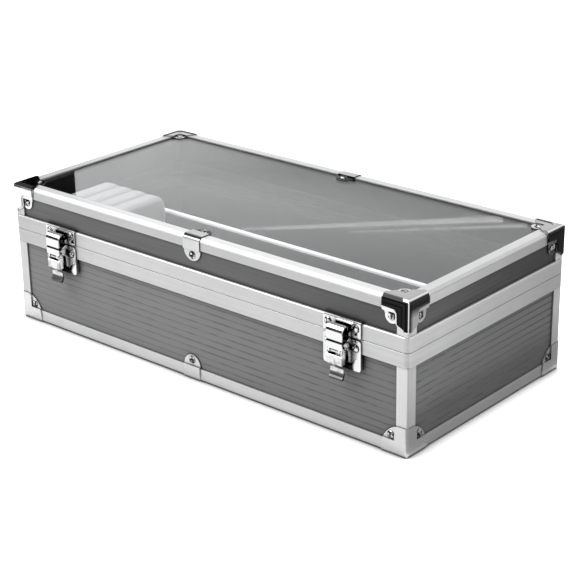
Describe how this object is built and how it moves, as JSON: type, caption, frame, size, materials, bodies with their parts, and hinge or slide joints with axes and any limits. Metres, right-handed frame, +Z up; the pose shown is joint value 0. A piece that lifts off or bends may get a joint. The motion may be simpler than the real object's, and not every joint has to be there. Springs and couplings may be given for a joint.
{
  "type": "card slab storage box",
  "caption": "Hard storage case for graded card slabs: aluminium edge rails, grey panels, clear lid window, chrome corner guards, draw latches.",
  "frame": {"origin": "centre of the part's box, on the plane that its bottom corner guards stand on", "axes": "+Z up, +X along the length towards the right end, -Y towards the front with the latches"},
  "size_m": [0.3506, 0.1846, 0.103],
  "materials": {
    "aluminium_rail": "satin anodised",
    "rim_aluminium": "satin anodised",
    "panel_laminate": "grey laminate, scored",
    "lid_laminate": "grey laminate, plain",
    "chrome": "bright plated",
    "satin_steel": "satin plated",
    "rivet_steel": "domed, polished",
    "lining": "black flocked board",
    "black_plastic": "matt",
    "divider_board": "black board",
    "white_trim": "satin white",
    "white_foam": "closed-cell foam",
    "clear_acrylic": "clear, polished"
  },
  "bodies": {
    "base": {"base_floor_panel": "panel_laminate", "base_front_panel": "panel_laminate", "base_back_panel": "panel_laminate", "base_left_panel": "panel_laminate", "base_right_panel": "panel_laminate", "bottom_rail_front": "aluminium_rail", "bottom_rail_back": "aluminium_rail", "bottom_rail_left": "aluminium_rail", "bottom_rail_right": "aluminium_rail", "base_corner_posts": "aluminium_rail", "base_rim": "rim_aluminium", "base_corner_guards": "satin_steel", "base_edge_clip_front": "satin_steel", "base_edge_clip_back": "satin_steel", "floor_lining": "lining", "wall_linings": "lining", "divider_end_channels": "black_plastic", "latch_base_plate_left": "chrome", "latch_base_plate_right": "chrome", "latch_lever_pins": "satin_steel", "hinge_base_leaf_left": "chrome", "hinge_base_leaf_right": "chrome", "hinge_pins": "satin_steel", "base_rivets": "rivet_steel"},
    "lid": {"lid_window": "clear_acrylic", "lid_front_panel": "lid_laminate", "lid_back_panel": "lid_laminate", "lid_left_panel": "lid_laminate", "lid_right_panel": "lid_laminate", "lid_rail_front": "aluminium_rail", "lid_rail_back": "aluminium_rail", "lid_rail_left": "aluminium_rail", "lid_rail_right": "aluminium_rail", "lid_corner_posts": "aluminium_rail", "lid_rim": "rim_aluminium", "lid_guard_front_left": "chrome", "lid_guard_front_right": "chrome", "lid_guard_back_left": "chrome", "lid_guard_back_right": "chrome", "lid_edge_clip_front": "chrome", "lid_edge_clip_back": "chrome", "latch_catch_plate_left": "chrome", "latch_catch_plate_right": "chrome", "hinge_lid_leaf_left": "chrome", "hinge_lid_leaf_right": "chrome", "lid_rivets": "rivet_steel"},
    "lever_left": {"latch_lever_left": "chrome", "latch_claw_pins_left": "satin_steel"},
    "lever_right": {"latch_lever_right": "chrome", "latch_claw_pins_right": "satin_steel"},
    "claw_left": {"latch_claw_left": "chrome"},
    "claw_right": {"latch_claw_right": "chrome"},
    "divider": {"divider_board": "divider_board", "divider_edge_trim": "white_trim"},
    "foam_spacers": {"foam_spacer_1": "white_foam", "foam_spacer_2": "white_foam", "foam_spacer_3": "white_foam", "foam_spacer_4": "white_foam"}
  },
  "joints": [
    {"name": "lid_hinge", "type": "hinge", "parent": "base", "child": "lid", "pos_m": [0, 0.0873, 0.069], "axis": [-1, 0, 0], "range_deg": [0, 105]},
    {"name": "latch_lever_left", "type": "hinge", "parent": "base", "child": "lever_left", "pos_m": [-0.126, -0.0895, 0.0655], "axis": [-1, 0, 0], "range_deg": [0, 100]},
    {"name": "latch_claw_left", "type": "hinge", "parent": "lever_left", "child": "claw_left", "pos_m": [-0.126, -0.0912, 0.0603], "axis": [-1, 0, 0], "range_deg": [-115, 0]},
    {"name": "latch_lever_right", "type": "hinge", "parent": "base", "child": "lever_right", "pos_m": [0.126, -0.0895, 0.0655], "axis": [-1, 0, 0], "range_deg": [0, 100]},
    {"name": "latch_claw_right", "type": "hinge", "parent": "lever_right", "child": "claw_right", "pos_m": [0.126, -0.0912, 0.0603], "axis": [-1, 0, 0], "range_deg": [-115, 0]},
    {"name": "divider_lift", "type": "slide", "parent": "base", "child": "divider", "axis": [0, 0, 1], "range_m": [0, 0.022]},
    {"name": "foam_lift", "type": "slide", "parent": "base", "child": "foam_spacers", "axis": [0, 0, 1], "range_m": [0, 0.009]}
  ],
  "couplings": [
    {"joint": "latch_claw_left", "follows": "latch_lever_left", "ratio": -1.15},
    {"joint": "latch_claw_right", "follows": "latch_lever_right", "ratio": -1.15}
  ]
}
